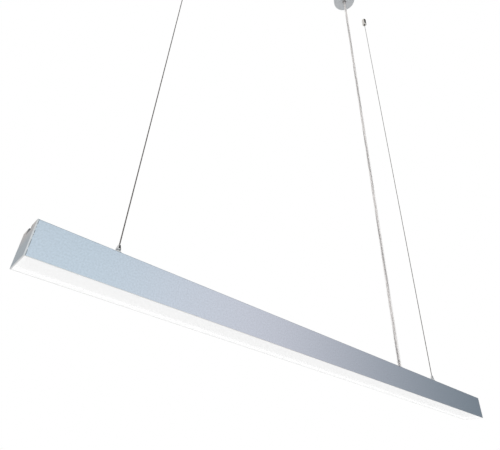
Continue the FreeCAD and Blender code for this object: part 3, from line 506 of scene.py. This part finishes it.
ANODISED = (0.613, 0.676, 0.766)
ANODISED_CAP = (0.68, 0.69, 0.71)
# The cap's end faces are darker and bluer than its sides: painted shade. Towards the top they run into a
# lighter, warmer painted reflection.
CAP_FACE_PAINTED_SHADE = (0.475, 0.535, 0.575)
CAP_FACE_TOP_PAINTED_REFLECTION = (0.68, 0.63, 0.60)
DIFFUSER_GLOW = 0.315

# Each row: colour, metallic, roughness, grains per metre, the grain's part in colour, in roughness and in
# height, and for one how the grain is stretched.
GRAINED = {
    "opal_diffuser": ((0.84, 0.84, 0.84), 0.0, 0.60, 900, 0.01, 0.04, 0.000002),
    "white_sheet_steel": ((0.84, 0.84, 0.81), 0.0, 0.45, 1200, 0.03, 0.05, 0.00003),
    "white_circuit_board": ((0.85, 0.87, 0.84), 0.0, 0.35, 700, 0.03, 0.05, 0.00001),
    "light_package": ((0.90, 0.70, 0.12), 0.0, 0.25, 2500, 0.08, 0.05, 0.00002),
    "driver_plastic": ((0.75, 0.75, 0.73), 0.0, 0.5, 1500, 0.03, 0.05, 0.00004),
    "zinc_steel": ((0.60, 0.62, 0.64), 1.0, 0.32, 500, 0.12, 0.08, 0.00002),
    "terminal_plastic": ((0.72, 0.72, 0.68), 0.0, 0.45, 1500, 0.03, 0.05, 0.00002),
    "core_insulation": ((0.45, 0.46, 0.48), 0.0, 0.4, 1500, 0.05, 0.05, 0.00002),
    "chrome_plate": ((0.55, 0.556, 0.56), 1.0, 0.08, 600, 0.03, 0.03, 0.000005),
    "spring_steel": ((0.50, 0.50, 0.51), 1.0, 0.28, 900, 0.08, 0.06, 0.00001),
    "satin_nickel": ((0.62, 0.60, 0.57), 1.0, 0.33, 500, 0.05, 0.06, 0.00002, (1, 1, 8)),
    # The rope is darker than bare galvanised steel: partly its own colour, partly painted shade.
    "wire_rope": ((0.21, 0.195, 0.185), 1.0, 0.32, 1500, 0.12, 0.08, 0.00002),
    "gland_nylon": ((0.62, 0.62, 0.62), 0.0, 0.45, 1500, 0.04, 0.06, 0.00003),
    "canopy_paint": ((0.60, 0.62, 0.64), 0.3, 0.42, 1300, 0.05, 0.06, 0.00004),
    "clear_cord": ((0.89, 0.88, 0.875), 0.0, 0.06, 400, 0.01, 0.03, 0.00002),
    "cord_cores": ((0.70, 0.68, 0.67), 0.0, 0.35, 900, 0.06, 0.06, 0.00002),
    "cord_dark_core": ((0.42, 0.41, 0.41), 0.0, 0.35, 900, 0.06, 0.06, 0.00002),
}
MATERIALS = {}
SHADERS = {}
for name, row in GRAINED.items():
    MATERIALS[name], _, SHADERS[name] = grained(name, *row)
SHADERS["opal_diffuser"].inputs["Emission Color"].default_value = (1, 1, 1, 1)
SHADERS["opal_diffuser"].inputs["Emission Strength"].default_value = DIFFUSER_GLOW
for socket, value in (("Transmission Weight", 1.0), ("IOR", 1.12), ("Coat Weight", 0.6),
                      ("Coat Roughness", 0.05)):
    SHADERS["clear_cord"].inputs[socket].default_value = value
MATERIALS["anodised_aluminium"], _ = make_anodised("anodised_aluminium", ANODISED, ANODISED, ANODISED)
MATERIALS["end_cap"], shader = make_anodised("anodised_end_cap", ANODISED_CAP, CAP_FACE_PAINTED_SHADE, CAP_FACE_TOP_PAINTED_REFLECTION)
shader.inputs["Specular Tint"].default_value = (0.60, 0.61, 0.62, 1)
# The sheath's stretches meet end to end, and their end faces don't show.
MATERIALS["clear_cord_end"], _, shader = new_material("clear_cord_end", (1, 1, 1), 0.0, 0.1)
shader.inputs["Alpha"].default_value = 0.0


def give(piece, material):
    piece.data.materials.clear()
    piece.data.materials.append(material)


for row in frame["record"]["subparts"]:
    give(nodes[row["node"]], MATERIALS[row["material_slot"]])
for piece in scene.objects:
    if piece.name.startswith("wire_rope"):
        give(piece, MATERIALS["wire_rope"])
    elif piece.name.startswith("gripper_coil"):
        give(piece, MATERIALS["spring_steel"])
    elif piece.name.startswith("end_cap"):
        give(piece, MATERIALS["end_cap"])
    elif piece.name.endswith("_sheath"):
        give(piece, MATERIALS["clear_cord"])
        piece.data.materials.append(MATERIALS["clear_cord_end"])
        for face in piece.data.polygons[-2:]:
            face.material_index = 1
    elif piece.name.endswith("_cores") and piece.name.startswith("power_cord"):
        piece.data.materials[0] = MATERIALS["cord_cores"]
        piece.data.materials[1] = MATERIALS["cord_dark_core"]


# ---------------------------------------------------------------- floor, backdrop and light
FLOOR_Z = -2.75
FLOOR_HALF_SIZE = 60
FLOOR_GLOW = 0.30              # for the camera only
WORLD_STRENGTH = 0.65          # where the camera, gloss and glass don't see it
CARD_STEPS = 50
CARD_RADIUS = 3.0


def make_world():
    world = bpy.data.worlds.new("studio")
    scene.world = world
    world.use_nodes = True
    tree = world.node_tree
    background = tree.nodes["Background"]
    background.inputs["Color"].default_value = (1, 1, 1, 1)
    path = tree.nodes.new("ShaderNodeLightPath")
    seen = path.outputs["Is Camera Ray"]
    for name in ("Is Glossy Ray", "Is Transmission Ray"):
        both = tree.nodes.new("ShaderNodeMath")
        both.operation = "MAXIMUM"
        tree.links.new(seen, both.inputs[0])
        tree.links.new(path.outputs[name], both.inputs[1])
        seen = both.outputs[0]
    strength = level(tree, seen, WORLD_STRENGTH, 1.0, 0.0, 1.0)
    tree.links.new(strength, background.inputs["Strength"])


def make_floor():
    """A pale floor. What reflects sees it white, and the camera sees it a little paler than its paint."""
    size = FLOOR_HALF_SIZE
    corners = [(x * size, y * size, FLOOR_Z) for x, y in ((-1, -1), (1, -1), (1, 1), (-1, 1))]
    floor = new_object("floor", corners, [(0, 1, 2, 3)])
    material, tree, shader = grained("floor_paint", (0.86, 0.86, 0.86), 0.0, 0.7, 3, 0.01, 0.03, 0.0005)
    path = tree.nodes.new("ShaderNodeLightPath")
    paler = tree.nodes.new("ShaderNodeEmission")
    glow = maths(tree, "MULTIPLY", path.outputs["Is Camera Ray"], FLOOR_GLOW)
    tree.links.new(glow, paler.inputs["Strength"])
    both = tree.nodes.new("ShaderNodeAddShader")
    tree.links.new(shader.outputs[0], both.inputs[0])
    tree.links.new(paler.outputs[0], both.inputs[1])
    white = tree.nodes.new("ShaderNodeEmission")
    blend = tree.nodes.new("ShaderNodeMixShader")
    tree.links.new(path.outputs["Is Glossy Ray"], blend.inputs[0])
    tree.links.new(both.outputs[0], blend.inputs[1])
    tree.links.new(white.outputs[0], blend.inputs[2])
    tree.links.new(blend.outputs[0], tree.nodes["Material Output"].inputs["Surface"])
    give(floor, material)


SIDE_STOPS = [(-35, (1.0, 1.0, 1.0)), (10, (0.90, 1.0, 1.01)), (30, (1.0, 0.95, 0.95)),
              (42, (0.97, 0.90, 0.90)), (72, (0.18, 0.23, 0.25)), (86, (0.14, 0.16, 0.18)),
              (112, (0.9, 0.9, 0.9)), (120, (1.0, 1.0, 1.0))]
HIGH_STOPS = [(-50, (1.0, 1.0, 1.0)), (-25, (0.04, 0.04, 0.04)), (100, (0.04, 0.04, 0.04)),
              (125, (1.0, 1.0, 1.0))]


def make_card(name, stops, low, high):
    """A graduated card that stands round the lamp, which shows only in what reflects. Its stops are degrees
    round the lamp, from -Y towards +X, and a colour."""
    first, last = stops[0][0], stops[-1][0]
    vertices = []
    for k in range(CARD_STEPS + 1):
        angle = math.radians(first + (last - first) * k / CARD_STEPS)
        for z in (low, high):
            vertices.append((CARD_RADIUS * math.sin(angle), -CARD_RADIUS * math.cos(angle), z))
    faces = [(2 * k, 2 * k + 2, 2 * k + 3, 2 * k + 1) for k in range(CARD_STEPS)]
    card = new_object(name, vertices, faces)
    material = bpy.data.materials.new(name)
    material.use_nodes = True
    tree = material.node_tree
    tree.nodes.remove(tree.nodes["Principled BSDF"])
    glow = tree.nodes.new("ShaderNodeEmission")
    (x, y, _), _ = place_on(tree)
    angle = maths(tree, "ARCTAN2", x, maths(tree, "MULTIPLY", y, -1.0))
    share = level(tree, angle, 0.0, 1.0, math.radians(first), math.radians(last))
    node = tree.nodes.new("ShaderNodeValToRGB")
    elements = node.color_ramp.elements
    for i, (degrees, colour) in enumerate(stops):
        position = (degrees - first) / (last - first)
        stop = elements[i] if i < 2 else elements.new(position)
        stop.position = position
        stop.color = (*colour, 1)
    tree.links.new(share, node.inputs["Fac"])
    tree.links.new(node.outputs["Color"], glow.inputs["Color"])
    tree.links.new(glow.outputs["Emission"], tree.nodes["Material Output"].inputs["Surface"])
    card.data.materials.append(material)
    for way in ("camera", "diffuse", "shadow", "transmission"):
        setattr(card, f"visible_{way}", False)


def make_light(name, place, target, size, power):
    data = bpy.data.lights.new(name, "AREA")
    data.shape = "RECTANGLE"
    data.size, data.size_y = size
    data.energy = power
    light = bpy.data.objects.new(name, data)
    light.location = place
    light.rotation_euler = (Vector(target) - Vector(place)).to_track_quat("-Z", "Y").to_euler()
    light.visible_glossy = False
    light.visible_camera = False
    scene.collection.objects.link(light)


make_world()
make_floor()
make_card("side_card", SIDE_STOPS, low=-4.0, high=0.9)
make_card("high_card", HIGH_STOPS, low=0.9, high=14.0)
make_light("key", place=(-3.2, -4.4, 2.0), target=(0, 0, -1.2), size=(4.0, 4.0), power=120)
